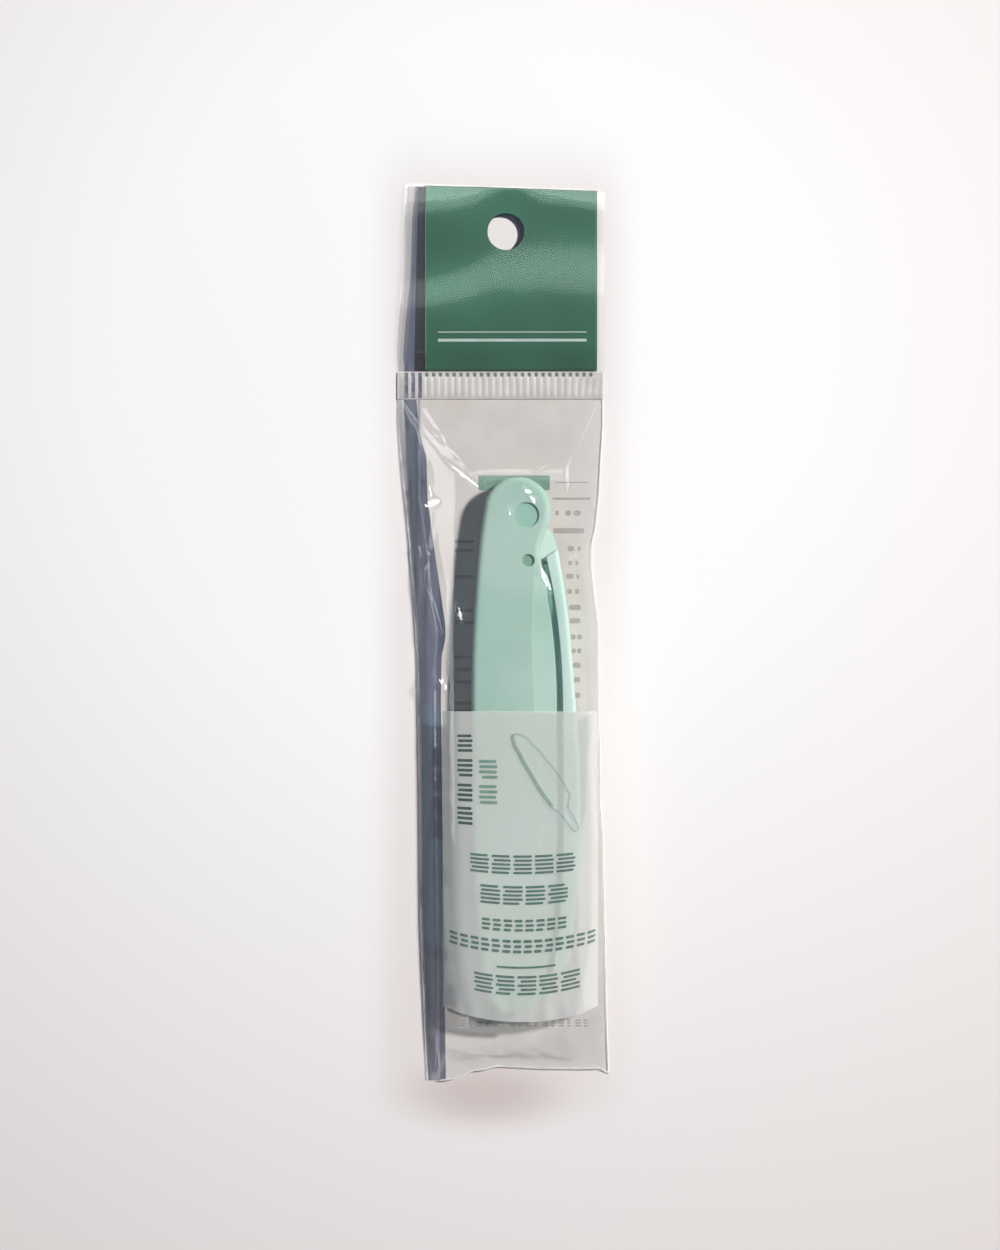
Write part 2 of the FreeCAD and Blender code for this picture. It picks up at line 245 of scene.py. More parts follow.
# Blade: a strip of hardened stainless steel, surface-ground across its width,
# which leaves fine bright streaks from the back to the edge.
steel_dark = "#a9adaf"
steel_bright = "#d5d8d9"
grinding_pitch = 0.25


def ground_steel(name, stretch, roughness, height):
    """Stainless steel with grinding marks that run along one direction."""
    material, tree = start_finish(name)
    marks = noise_of(tree, grinding_pitch, 4.0, stretch)
    metal = add(
        tree,
        "BsdfPrincipled",
        {
            "Base Color": between(tree, marks, steel_dark, steel_bright, 0.3, 0.7),
            "Metallic": 1.0,
            "Roughness": roughness,
            "Normal": relief(tree, marks, height),
        },
    )
    return finished(material, metal)


dress("blade", ground_steel("ground stainless strip", (0.05, 1, 1), 0.24, 0.004))


# Guard: thin stainless foil, etched into a comb and folded over the edge. The
# etch leaves it greyer and more matt than the blade.
dress("guard_comb", ground_steel("etched stainless foil", (1, 0.3, 1), 0.38, 0.006))


# Pouch: two clear polypropylene films, welded along both sides. The shape of
# both comes from the stations of the plain film, joined by smooth curves, with
# the taut folds that run from the razor's head and the slack ones at the sides.
flat_gap = 0.05
rubbed_from, rubbed_to = 10.5, 15.0
scuffed_from, scuffed_to = -67.5, -69.5
scuffed_roughness = 0.36
seam_share = 0.4
right_edge = [
    (41.7, 18.0), (36.6, 18.0), (31.6, 17.7), (24.0, 17.3), (19.0, 16.8), (15.5, 16.0),
    (11.0, 16.0), (3.9, 16.9), (0.0, 17.3), (-16.0, 17.3), (-21.0, 17.6), (-31.0, 17.6),
    (-36.0, 18.0), (-49.0, 18.3), (-81.0, 19.0),
]
left_edge = [
    (41.7, -18.6), (29.0, -18.7), (16.5, -17.4), (9.3, -16.4), (2.1, -15.6), (-1.5, -15.2),
    (-47.0, -15.1), (-50.0, -14.45), (-81.0, -13.4),
]
mouth_fade = 9
mouth_ragged = 0.12
mouth_line = [
    (-14.5, 0.3), (-10.3, 0.3), (-4.0, 2.1), (-0.4, 2.8), (10.4, 2.4), (17.6, 2.4), (19.0, 1.5),
]
# Each fold runs from one place to another, with its height and its width.
fold_crest = 1.4
folds = [
    (-14.0, 41.0, -3.6, 24.9, 0.3, 0.9),
    (-14.9, 33.0, -13.9, 30.4, 0.35, 0.5),
    (-14.8, 23.6, -12.6, 21.2, 0.45, 0.6),
    (-12.6, 22.0, -14.8, 2.0, 0.4, 0.8),
    (-15.6, 16.0, -11.4, -1.0, 0.55, 0.7),
    (-12.6, -7.0, -9.8, -9.4, 0.6, 0.6),
    (-12.4, -10.0, -12.0, -79.0, 0.35, 0.5),
    (13.4, 14.0, 15.6, 1.0, 0.25, 0.8),
    (15.6, 1.0, 14.0, -10.0, 0.25, 0.8),
    (-10.0, -71.2, -4.6, -69.6, 0.6, 1.1),
    (-6.0, -71.0, 2.0, -76.0, 0.4, 0.9),
    (2.0, -76.0, 10.5, -70.5, 0.35, 0.9),
    (10.5, -70.5, 14.0, -77.5, 0.35, 0.8),
]
facet_slope = (0.34, 0.36)
facet_rise, facet_rim = 0.25, 0.4
# Each facet has its middle, its half length and half width, and its heading in degrees.
facets_pressed = [
    (-6.9, 27.9, 5.4, 0.65, -39.4),
    (-12.8, 25.2, 2.3, 0.5, -72),
    (-12.5, 22.9, 2.1, 1.0, 15),
    (-14.5, 37.2, 2.6, 0.3, -84),
    (-11.5, 35.4, 0.7, 0.4, -30),
    (-14.5, 31.7, 0.7, 0.4, 0),
    (-14.0, 20.4, 0.9, 0.25, 90),
    (-13.5, 15.0, 1.3, 0.25, -60),
    (4.7, 24.9, 1.5, 0.85, -20),
    (5.6, 23.5, 1.2, 0.75, -50),
    (1.45, 21.2, 1.0, 0.4, -70),
    (7.9, 21.2, 1.5, 0.35, 58),
    (7.85, 9.3, 3.0, 0.85, -70),
    (-7.5, 3.3, 1.9, 0.6, -80),
    (-10.6, -9.0, 1.6, 0.8, -35),
    (-10.0, -10.0, 1.2, 0.5, -88),
    (7.1, 29.2, 1.9, 0.4, 28),
    (12.4, 12.9, 0.5, 0.3, 0),
    (16.4, 21.9, 0.9, 0.3, -60),
]


def across(line, y):
    """Where a line given by its corners lies, at a place along the pouch."""
    for (y0, x0), (y1, x1) in zip(line, line[1:]):
        if y >= y1:
            return x0 + (x1 - x0) * (y0 - y) / (y0 - y1)
    return line[-1][1]


def read_stations():
    """Rows of y, left, right, flat left, flat right, seam height and top, in millimetres."""
    found = {}
    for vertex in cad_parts["pouch_front_film"].data.vertices:
        x, y, z = (round(c / mm, 2) for c in vertex.co)
        found.setdefault(y, []).append((x, z))
    rows = []
    for y in sorted(found):
        left, right = min(found[y]), max(found[y])
        top = max(z for x, z in found[y])
        flat = [x for x, z in found[y] if top - z < flat_gap]
        rows.append((y, left[0], right[0], min(flat), max(flat), left[1] * seam_share, top))
    return rows


stations = read_stations()
pouch_bottom, pouch_top = stations[0][0], stations[-1][0]


def slope_at(i, column):
    """How fast a column changes at a station, from its neighbours."""
    low, high = stations[max(i - 1, 0)], stations[min(i + 1, len(stations) - 1)]
    return (high[column] - low[column]) / (high[0] - low[0])


@functools.cache
def section(y):
    """The film's section at any place: every column through a smooth curve."""
    i = bisect.bisect_right([row[0] for row in stations], y) - 1
    i = min(max(i, 0), len(stations) - 2)
    low, high = stations[i], stations[i + 1]
    step = high[0] - low[0]
    t = min(max((y - low[0]) / step, 0), 1)
    values = []
    for column in range(1, len(low)):
        a, b = low[column], high[column]
        leave, arrive = slope_at(i, column) * step, slope_at(i + 1, column) * step
        values.append(
            a * (1 + 2 * t) * (1 - t) ** 2
            + leave * t * (1 - t) ** 2
            + b * t * t * (3 - 2 * t)
            - arrive * t * t * (1 - t)
        )
    values[0] = max(values[0], across(left_edge, y))
    values[1] = across(right_edge, y)
    return values


def ease(t):
    """A smooth step, from 0 at 0 to 1 at 1."""
    t = min(max(t, 0), 1)
    return t * t * (3 - 2 * t)


def swell(x, y):
    """0 on the side welds and 1 over the razor, where the film is taut."""
    left, right, flat_left, flat_right, seam, top = section(y)
    if x < flat_left:
        share = (x - left) / (flat_left - left)
    elif x > flat_right:
        share = (right - x) / (right - flat_right)
    else:
        share = 1
    return math.sin(math.pi / 2 * min(max(share, 0), 1))


def fold_lift(x, y):
    """The height that the listed folds add."""
    lift = 0
    for x0, y0, x1, y1, height, width in folds:
        dx, dy = x1 - x0, y1 - y0
        length = math.hypot(dx, dy)
        along = ((x - x0) * dx + (y - y0) * dy) / length
        off = abs((x - x0) * dy - (y - y0) * dx) / length
        ends = ease(along / width) * ease((length - along) / width)
        lift += height * ends * math.exp(-((off / width) ** 2) * fold_crest)
    return lift


def uneven(x, y, per_x, per_y, layer):
    """A smooth uneven value about zero, with so many swells per millimetre each way."""
    return noise.noise(Vector((x * per_x, y * per_y, layer)))


def flat_sided(x, y):
    """Flat-sided crumples, as stiff film takes them: the distance to scattered points."""
    near = noise.voronoi(Vector((x * 0.17, y * 0.2, 9)))[0]
    return near[1] - near[0]


long_fold_height, crumple_height, mouth_crumple_height = 0.22, 0.1, 0.24


def slack(x, y):
    """Small crumples, which grow towards the side welds and the mouth."""
    long_folds = long_fold_height * uneven(x, y, 0.45, 0.06, 3)
    crumple = crumple_height * uneven(x, y, 0.3, 0.22, 7)
    near_mouth = ease((pouch_bottom + 1.5 * mouth_fade - y) / mouth_fade)
    return long_folds + crumple + mouth_crumple_height * near_mouth * flat_sided(x, y)


def eased(line, x):
    """The value at x of a line given by its corners, with eased steps between them."""
    for (x0, value0), (x1, value1) in zip(line, line[1:]):
        if x <= x1:
            return value0 + (value1 - value0) * ease((x - x0) / (x1 - x0))
    return line[-1][1]


def mouth_rise(x):
    """How far the uneven cut lies above the film's straight end."""
    ragged = mouth_ragged * uneven(x, 0, 1.7, 1, 1)
    return eased(mouth_line, x) + (ragged if x <= mouth_line[-1][0] else 0)


def drawn_up(x, y):
    """The place along the pouch, with the last stretch drawn up to the uneven cut."""
    return y + mouth_rise(x) * ease((pouch_bottom + mouth_fade - y) / mouth_fade)


weld_fade = 1.5
taut_share, taut_from, taut_fade = 0.97, 12, 6
fold_fade, slack_fade = 1.2, 6
least_gap = 0.02


def loose_height(x, y):
    """The front film's height: taut over the razor, held at the welds, the seal and the mouth."""
    left, right, flat_left, flat_right, seam, top = section(y)
    up = swell(x, y)
    edge = ease(min(x - left, right - x) / weld_fade)
    free = 1 - taut_share * up ** 4 * ease((y - pouch_bottom - taut_from) / taut_fade)
    folded = fold_lift(x, y) * edge * ease((pouch_top - y) / fold_fade)
    crumpled = slack(x, y) * edge * free * ease((pouch_top - y) / slack_fade)
    return max(seam + (top - seam) * up + crumpled + folded, seam + least_gap)


def on_front(x, y, lift=0):
    """A point of the front film, with the small flat facets that are pressed into it."""
    z = loose_height(x, y)
    for x0, y0, half_length, half_width, heading in facets_pressed:
        dx, dy = x - x0, y - y0
        if math.hypot(dx, dy) > half_length:
            continue
        turn = math.radians(heading)
        along = dx * math.cos(turn) + dy * math.sin(turn)
        off = dy * math.cos(turn) - dx * math.sin(turn)
        share = ease((1 - (along / half_length) ** 2 - (off / half_width) ** 2) / facet_rim)
        level = loose_height(x0, y0) + facet_rise + facet_slope[0] * dx + facet_slope[1] * dy
        z += (level - z) * share
    return Vector((x, drawn_up(x, y), z + lift))


back_lift, back_ripple = 0.06, 0.12


def on_back(x, y, lift=0):
    """A point of the back film, flat on the table and drawn up to the side welds."""
    left, right, flat_left, flat_right, seam, top = section(y)
    up = swell(x, y)
    edge = ease(min(x - left, right - x) / weld_fade)
    ripple = uneven(x, y, 0.3, 0.12, 11)
    z = seam * (1 - up) + (back_lift + back_ripple * ripple * ripple) * edge
    return Vector((x, drawn_up(x, y), z + lift))


def add_sheet(bm, rows, columns, place, lift=0):
    """Adds a sheet: each row holds a place along the pouch and its two ends across it."""
    grid = []
    for y, left, right in rows:
        points = [place(left + (right - left) * i / columns, y, lift) for i in range(columns + 1)]
        grid.append([bm.verts.new(point * mm) for point in points])
    for near, far in zip(grid, grid[1:]):
        for i in range(columns):
            bm.faces.new((near[i], far[i], far[i + 1], near[i + 1]))


def steps(start, end, pitch):
    """Even steps from start to end, about a pitch apart."""
    count = max(1, round(abs(end - start) / pitch))
    return [start + (end - start) * i / count for i in range(count + 1)]


def pouch_piece(name, bm, material, stands_for=(), keep=0.08):
    """Makes a piece that rides on the pouch, in place of any parts it stands for; unless keep is 1, it
    gets a mesh of its own.
    """
    piece = make_piece(name, bm, material)
    for face in piece.data.polygons:
        face.use_smooth = True
    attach(piece, "pouch")
    if stands_for:
        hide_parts(*stands_for)
    if keep < 1:
        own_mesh(piece)
    return piece


def clear_film(name, haze, side_haze, roughness, ripple_size, ripple_height):
    """Cast polypropylene film: clear and glossy, rubbed milky at its sides, scuffed at the mouth."""
    material, tree = start_finish(name)
    ripple = relief(tree, noise_of(tree, ripple_size, 1.0), ripple_height)
    facing = add(tree, "LayerWeight", {"Blend": 0.5, "Normal": ripple}).outputs["Facing"]
    steep = add(tree, "Math", {0: facing, 1: 5.0}, operation="POWER").outputs[0]
    edge_on = add(tree, "MapRange", {"Value": steep, "To Min": 0.02, "To Max": 1.0})
    place = add(tree, "SeparateXYZ", {0: add(tree, "TexCoord").outputs["Object"]})
    scuffed = add(
        tree,
        "MapRange",
        {
            "Value": place.outputs["Y"],
            "From Min": scuffed_to * mm,
            "From Max": scuffed_from * mm,
            "To Min": scuffed_roughness,
            "To Max": roughness,
        },
    )
    gloss = add(
        tree,
        "BsdfGlossy",
        {"Color": (1, 1, 1, 1), "Roughness": scuffed.outputs[0], "Normal": ripple},
    )
    clear = add(tree, "BsdfTransparent", {"Color": colour("#fcfcfc")})
    milk = add(tree, "BsdfDiffuse", {"Color": colour("#f4f3f1")})
    aside = add(tree, "Math", {0: place.outputs["X"]}, operation="ABSOLUTE").outputs[0]
    rubbed = add(
        tree,
        "MapRange",
        {
            "Value": aside,
            "From Min": rubbed_from * mm,
            "From Max": rubbed_to * mm,
            "To Min": haze,
            "To Max": side_haze,
        },
        interpolation_type="SMOOTHSTEP",
    )
    body = add(tree, "MixShader", {0: rubbed.outputs[0], 1: clear.outputs[0], 2: milk.outputs[0]})
    film = add(tree, "MixShader", {0: edge_on.outputs[0], 1: body.outputs[0], 2: gloss.outputs[0]})
    return finished(material, film)


window_film = clear_film("clear polypropylene film", 0.015, 0.08, 0.07, 3.0, 0.015)

front = bmesh.new()
fine_end = -12
fine_pitch, front_pitch = 0.25, 0.6
front_columns = 150
front_places = steps(pouch_top, fine_end, fine_pitch)[:-1]
front_places += steps(fine_end, pouch_bottom, front_pitch)
front_rows = [(y, *section(y)[:2]) for y in front_places]
add_sheet(front, front_rows, front_columns, on_front)
pouch_piece("front_film", front, window_film, ["pouch_front_film"])

back = bmesh.new()
back_columns = 60
back_places = steps(pouch_top, pouch_bottom, 1)
back_rows = [(y, *section(y)[:2]) for y in back_places]
add_sheet(back, back_rows, back_columns, on_back)
pouch_piece("back_film", back, window_film, ["pouch_back_film"])


# Back print: a field of opaque white gravure ink on the inside of the back film,
# up to the right weld. A slate field, streaked along the film, fills the margin
# that the white leaves on the left: a painted shadow, as seen through the clear margin.
print_lift = 0.03
print_columns = 60
white_left = [
    (41.7, -15.4), (36.0, -14.9), (31.5, -13.6), (23.7, -13.4), (12.9, -11.9), (1.2, -10.2),
    (-1.5, -10.2), (-4.5, -10.9), (-12.3, -11.0), (-81.0, -10.1),
]
slate_left = [
    (41.7, -17.6), (23.7, -16.5), (12.9, -15.9), (5.7, -15.6), (1.2, -15.0), (-1.5, -14.9),
    (-47.0, -14.9), (-50.0, -14.2), (-81.0, -13.1),
]
right_margin = 0.3


def printed(name, low, high, cover, size=3.0, roughness=0.5, stretch=(1, 1, 1), detail=3.0, gloss=0.2):
    """Gravure ink on film: slightly uneven, and not quite opaque."""
    material, tree = start_finish(name)
    tone = between(tree, noise_of(tree, size, detail, stretch), low, high)
    ink = add(
        tree,
        "BsdfPrincipled",
        {"Base Color": tone, "Roughness": roughness, "IOR": 1.5, "Specular IOR Level": gloss},
    )
    clear = add(tree, "BsdfTransparent")
    covered = add(tree, "MixShader", {0: cover, 1: clear.outputs[0], 2: ink.outputs[0]})
    return finished(material, covered)


panel = bmesh.new()
panel_rows = [(y, across(white_left, y), section(y)[1] - right_margin) for y in back_places]
add_sheet(panel, panel_rows, print_columns, on_back, print_lift)
white_ink = printed("white gravure ink", "#d0c7be", "#d9d2c9", 0.96, 9.0)
pouch_piece("white_back_print", panel, white_ink)

edge_clearance = 0.15


def slate_start(y):
    """Where the slate field begins, clear of the film's left edge."""
    return max(across(slate_left, y), section(y)[0] + edge_clearance)


# The slate painted shadow turns bluer and then greyer along the pouch.
slate_cover, streak_size, streak_gloss = 0.93, 1.3, 0.4
streaks = (1, 0.03, 1)
slate_columns = 12
slate_parts = [
    ("slate_painted_shadow", "slate painted shadow ink", pouch_top, -13, "#464e5e", "#676979"),
    ("slate_painted_shadow_low", "blue slate painted shadow ink", -13, -57, "#4a5b6c", "#616f7e"),
    ("slate_painted_shadow_end", "grey slate painted shadow ink", -57, pouch_bottom, "#555963", "#6b6b75"),
]
for name, ink, top, bottom, low, high in slate_parts:
    margin = bmesh.new()
    margin_rows = [(y, slate_start(y), across(white_left, y)) for y in steps(top, bottom, 1)]
    add_sheet(margin, margin_rows, slate_columns, on_back, print_lift)
    slate_shadow_ink = printed(ink, low, high, slate_cover, streak_size, streak_gloss, streaks)
    pouch_piece(name, margin, slate_shadow_ink)

# A thin grey painted shade runs out beyond the slate, to the weld.
grey_inset = 0.1
grey_end = -2
edge_margin = bmesh.new()
edge_rows = [(y, section(y)[0] + grey_inset, slate_start(y)) for y in steps(pouch_top, grey_end, 1)]
add_sheet(edge_margin, edge_rows, 4, on_back, print_lift)
pouch_piece("grey_edge_painted_shade", edge_margin, printed("grey margin painted shade", "#84858b", "#95969b", 0.3))

# A paler line down the slate is a painted highlight of the film.
highlight_before, highlight_after = 0.25, 0.2
highlight_strip = bmesh.new()
highlight_line = [
    (41.7, -14.9), (23.7, -14.8), (12.9, -13.2), (5.0, -12.6), (-1.0, -11.7), (-6.0, -12.1),
    (-81.0, -11.3),
]
highlight_rows = [
    (y, across(highlight_line, y) - highlight_before, across(highlight_line, y) + highlight_after)
    for y in back_places
]
add_sheet(highlight_strip, highlight_rows, 2, on_back, 2 * print_lift)
pouch_piece("slate_painted_highlight", highlight_strip, printed("painted highlight ink", "#8f90a0", "#a9aabb", 0.45))


# Marks of the back print: a green bar over the razor's head, thin grey rules on
# both sides of the razor, and rows of small grey dots, all in gravure ink on the
# inside of the back film.
mark_lift = 0.05
mark_pitch, mark_column = 0.2, 0.25


def add_mark(bm, x0, x1, y0, y1, place, lift, corner=0.25):
    """Adds a printed block with rounded ends, laid on a film."""
    corner = min(corner, (y0 - y1) / 2, (x1 - x0) / 2)
    rows = []
    for y in steps(y0, y1, mark_pitch):
        into = max(0, corner - min(y0 - y, y - y1))
        inset = corner - math.sqrt(max(corner * corner - into * into, 0))
        rows.append((y, x0 + inset, x1 - inset))
    add_sheet(bm, rows, max(2, round((x1 - x0) / mark_column)), place, lift)


bar = bmesh.new()
add_mark(bar, -4.3, 8.6, 28.1, 25.4, on_back, mark_lift)
pouch_piece("green_back_bar", bar, printed("green gravure ink", "#6d907f", "#7ea391", 0.88))

# Each row holds its place, and the start and width of each of its dots.
dot_height, dot_corner = 0.95, 0.3
rule_height = 0.6
grey_marks = bmesh.new()
add_mark(grey_marks, 9.0, 16.0, 24.1, 23.7, on_back, mark_lift)
add_mark(grey_marks, 9.4, 15.6, 26.9, 26.7, on_back, mark_lift)
small_rows = [
    (21.8, ((9.6, 0.6), (11.4, 1.0), (12.9, 1.3))),
    (18.6, ((9.2, 5.6),)),
    (15.4, ((11.8, 1.2), (13.6, 0.6))),
    (12.8, ((11.9, 0.7), (13.2, 0.5))),
    (10.4, ((11.5, 1.4), (13.4, 0.5))),
    (7.7, ((11.7, 0.9), (13.1, 0.8))),
    (4.8, ((12.0, 2.2),)),
    (2.4, ((12.2, 1.9),)),
    (-0.5, ((12.4, 0.9), (13.5, 0.9))),
    (-3.0, ((12.5, 0.8), (13.5, 0.8))),
    (-5.6, ((12.7, 1.5),)),
    (-8.2, ((12.8, 1.3),)),
    (-11.0, ((12.9, 1.2),)),
]
for y, dots in small_rows:
    for x, width in dots:
        add_mark(grey_marks, x, x + width, y, y - dot_height, on_back, mark_lift, dot_corner)
for y in (16.5, 14.9, 10.2, 4.1, 1.9, -4.3, -6.5, -8.8, -12.6, -14.0):
    add_mark(grey_marks, -8.5, -5.0, y, y - rule_height, on_back, mark_lift)

# The last row, below the label field, has blocks of three thin lines.
last_widths = (1.1, 0.7, 1.2, 0.9)
last_height, last_corner = 0.28, 0.1
for i, x in enumerate(steps(-7.6, 14.6, 1.45)):
    end = x + last_widths[i % len(last_widths)]
    for y in (-69.8, -70.3, -70.8):
        add_mark(grey_marks, x, end, y, y - last_height, on_back, mark_lift, last_corner)
grey_ink = printed("grey gravure ink", "#8d8f8a", "#a5a59f", 0.4, 0.8)
pouch_piece("small_back_marks", grey_marks, grey_ink)


# Label field: a translucent white gravure print over the lower half of the front
# film, on its inside, which lets the razor show through like milk. Its lower edge
# sags with the film.
label_left, label_right = -10.6, 17.2
label_top, label_bottom = -14.2, -67.0
label_sag = 2.6


def on_label(x, y, lift=0):
    """A point of the front film, with the print sagging towards its lower edge."""
    share = (label_top - y) / (label_top - label_bottom)
    side = (x - (label_left + label_right) / 2) / ((label_right - label_left) / 2)
    return on_front(x, y - label_sag * ease(share) * (1 - side * side), lift)


label = bmesh.new()
label_depth = -0.07
label_pitch = 0.5
label_columns = 64
label_rows = [(y, label_left, label_right) for y in steps(label_top, label_bottom, label_pitch)]
add_sheet(label, label_rows, label_columns, on_label, label_depth)
milky_ink = printed("translucent white ink", "#e4e5db", "#eaeae2", 0.56, 12.0, 0.45)
pouch_piece("white_label_print", label, milky_ink)


# Label marks: blocks and rows of plain thin lines and one rule, in green gravure
# inks, printed before the white so that they read full. An outline of a folding
# razor with its neck is drawn beside the first blocks, in a paler green.
mark_depth = -0.03
line_share, line_corner = 0.58, 0.12
uneven_share = 0.32
dark_green = printed("dark green ink", "#29453f", "#35554c", 0.9, 1.2)
row_green = printed("row green ink", "#44695a", "#55796a", 0.85, 1.2)
soft_green = printed("soft green ink", "#6d8f7f", "#7c9c8c", 0.8, 1.2)
pale_green = printed("pale green ink", "#a9c0b3", "#b6cbbf", 0.5, 1.2)


def add_block(bm, x, y, width, height, lines):
    """Adds one block: thin lines of uneven length, which start and end in turn at the sides."""
    pitch = height / lines
    for i in range(lines):
        inset = width * uneven_share * abs(uneven(x * 3.1, y * 1.7 + i * 5.3, 1, 1, 2))
        shift = inset if i % 2 else 0
        start, end = x + shift, x + width - inset + shift
        line_y = y - pitch * i
        low_y = line_y - pitch * line_share
        add_mark(bm, start, end, line_y, low_y, on_label, mark_depth, line_corner)


def add_line(bm, x0, x1, y, count, height, lines, gap):
    """Adds a row of blocks between two places across the label."""
    pitch = (x1 - x0 + gap) / count
    for i in range(count):
        add_block(bm, x0 + pitch * i, y, pitch - gap, height, lines)


column = bmesh.new()
for block_y in (-18.3, -22.6, -26.9, -30.9):
    add_block(column, -8.0, block_y, 2.8, 3.4, 4)
pouch_piece("label_block_column", column, dark_green)

pair = bmesh.new()
for block_y in (-22.7, -27.0):
    add_block(pair, -4.1, block_y, 3.3, 3.6, 4)
pouch_piece("label_block_pair", pair, soft_green)

lines = bmesh.new()
add_line(lines, -5.7, 13.1, -38.7, 5, 3.4, 5, 0.4)
add_line(lines, -3.9, 11.8, -43.8, 4, 3.4, 5, 0.4)
add_line(lines, -3.6, 11.5, -49.4, 8, 2.3, 3, 0.35)
add_line(lines, -9.4, 16.7, -52.8, 14, 2.6, 3, 0.35)
add_mark(lines, -1.0, 9.6, -57.3, -57.65, on_label, mark_depth, 0.15)
add_line(lines, -5.0, 13.9, -58.9, 5, 3.6, 5, 0.4)
pouch_piece("label_lines", lines, row_green)


(drawn_x, drawn_y), (drawn_end_x, drawn_end_y) = (1.9, -18.4), (13.2, -35.0)
# Each corner holds a share of the length, and the half width there.
drawn_shape = [
    (0.0, 0.3), (0.03, 1.2), (0.1, 1.9), (0.3, 2.5), (0.55, 2.9), (0.7, 2.6), (0.8, 1.1),
    (0.97, 0.8), (1.0, 0.5),
]
drawn_line, drawn_back_line = 0.4, 0.3
flat_side_share = 0.5
back_share = 0.72
back_x, back_y = 0.35, 0.2


def add_outline(bm, points, width):
    """Adds a closed drawn line through points of the label."""
    inner, outer = [], []
    for i, (x, y) in enumerate(points):
        (x0, y0), (x1, y1) = points[i - 1], points[(i + 1) % len(points)]
        length = math.hypot(x1 - x0, y1 - y0)
        across_x, across_y = (y1 - y0) / length * width / 2, (x0 - x1) / length * width / 2
        inner.append(bm.verts.new(on_label(x - across_x, y - across_y, mark_depth) * mm))
        outer.append(bm.verts.new(on_label(x + across_x, y + across_y, mark_depth) * mm))
    join_rings(bm, [inner, outer])


run_x, run_y = drawn_end_x - drawn_x, drawn_end_y - drawn_y
drawn_length = math.hypot(run_x, run_y)
side_x, side_y = -run_y / drawn_length, run_x / drawn_length


def drawn_edge(t, side):
    """A point of the drawn razor's outline, at a share of its length and on one side."""
    half = side * eased(drawn_shape, t)
    return drawn_x + run_x * t + side_x * half, drawn_y + run_y * t + side_y * half


shares = steps(0, 1, 0.02)
right_side = [drawn_edge(t, 1) for t in shares]
left_side = [drawn_edge(t, -flat_side_share) for t in reversed(shares)]
drawn = bmesh.new()
add_outline(drawn, right_side + left_side, drawn_line)
pouch_piece("label_drawn_razor", drawn, pale_green)
drawn_back = bmesh.new()
for (x0, y0), (x1, y1) in zip(left_side, left_side[1:]):
    if math.hypot(x0 - drawn_x, y0 - drawn_y) < back_share * drawn_length:
        corners = [(x0, y0), (x1, y1), (x1 + back_x, y1 + back_y), (x0 + back_x, y0 + back_y)]
        add_outline(drawn_back, corners, drawn_back_line)
drawn_ink = printed("drawn green ink", "#8ba898", "#98b3a4", 0.5, 1.2)
pouch_piece("label_drawn_back", drawn_back, drawn_ink)

# A dark strip along the left of the label's lower edge is a painted shadow of the razor's foot.
rim_left, rim_right = -9.8, 4.5
rim_above, rim_below = 0.1, 0.45
rim = bmesh.new()
rim_places = steps(label_bottom + rim_above, label_bottom - rim_below, 0.12)
add_sheet(rim, [(y, rim_left, rim_right) for y in rim_places], 30, on_label, mark_depth)
pouch_piece("label_edge_painted_shadow", rim, printed("dark painted shadow ink", "#4b524f", "#6c716b", 0.75, 1.0))


# Cut end: the front film was cut by hand across its open end. Polypropylene turns
# white where it is strained, so a narrow band along the cut reads milky.
cut_left, cut_band = -11.0, 0.15
snipped = bmesh.new()
cut_places = (pouch_bottom + 2 * cut_band, pouch_bottom + cut_band, pouch_bottom)
snipped_rows = [(y, cut_left, section(pouch_bottom)[1]) for y in cut_places]
add_sheet(snipped, snipped_rows, front_columns, on_front, print_lift)
whitened = printed("whitened cut film", "#f6f5f2", "#fdfcfa", 0.75)
pouch_piece("whitened_cut_end", snipped, whitened)


# Side welds: the two polypropylene films melted together by a hot wire, which cuts
# them and leaves a narrow bead. It turns milky and stands a little proud of both.
bead_width, bead_height = 0.3, 0.26
bead_out, bead_wave = 0.35, 0.06
bead_sides = 8


def welded(name, cover, low, high):
    """Welded polypropylene: crystallised and milky, so it covers as an ink does, but glossier."""
    return printed(name, low, high, cover, 4.0, 0.25, detail=2.0, gloss=0.3)


def add_bead(bm, side):
    """Adds a round bead along one side of the pouch."""
    loops = []
    for y in steps(pouch_top, pouch_bottom, 0.5):
        left, right, flat_left, flat_right, seam, top = section(y)
        if side == "right":
            x = right + bead_width * bead_out
        else:
            x = left - bead_width * bead_out
        wave = bead_wave * uneven(x, y, 1, 0.9, 5)
        loop = []
        for i in range(bead_sides):
            turn = 2 * math.pi * i / bead_sides
            z = seam + bead_height / 2 * math.sin(turn)
            point = Vector((x + wave + bead_width / 2 * math.cos(turn), 0, z))
            point.y = drawn_up(point.x, y)
            loop.append(bm.verts.new(point * mm))
        loops.append(loop)
    join_rings(bm, loops)
    bm.faces.new(loops[0][::-1])
    bm.faces.new(loops[-1])


# Both beads are milky weld, but the right bead's whiter tone is a painted highlight and the left bead's
# grey, clearer tone is painted shade.
for side, tone, cover in (("left", "#aeb1b8", 0.3), ("right", "#f4f5f5", 0.75)):
    bead = bmesh.new()
    add_bead(bead, side)
    milky_bead = welded(side + " weld bead", cover, tone, "#fbfbfa")
    pouch_piece(side + "_weld", bead, milky_bead, [side + "_side_weld"])


# Heat seal: every layer crushed between two toothed jaws, which leave a band of
# fine upright ribs. The crushed film is milky, whiter on the ribs.
seal_low, seal_high = (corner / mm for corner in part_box("top_seal"))
rib_pitch, rib_height = 1.23, 0.14
seal_thickness, seal_margin, seal_brim = 0.12, 0.5, 1.1
seal_pitch, seal_columns = 0.25, 360
seal_wave, seal_sunk = 0.05, 0.05
lean_reach, lean_from, lean_fade = 0.5, 0.7, 0.3
weak_share, weak_from, weak_fade = 0.6, 0.85, 0.15
rib_fade, left_fade, brim_share = 0.4, 1.5, 0.65
stiff = 1


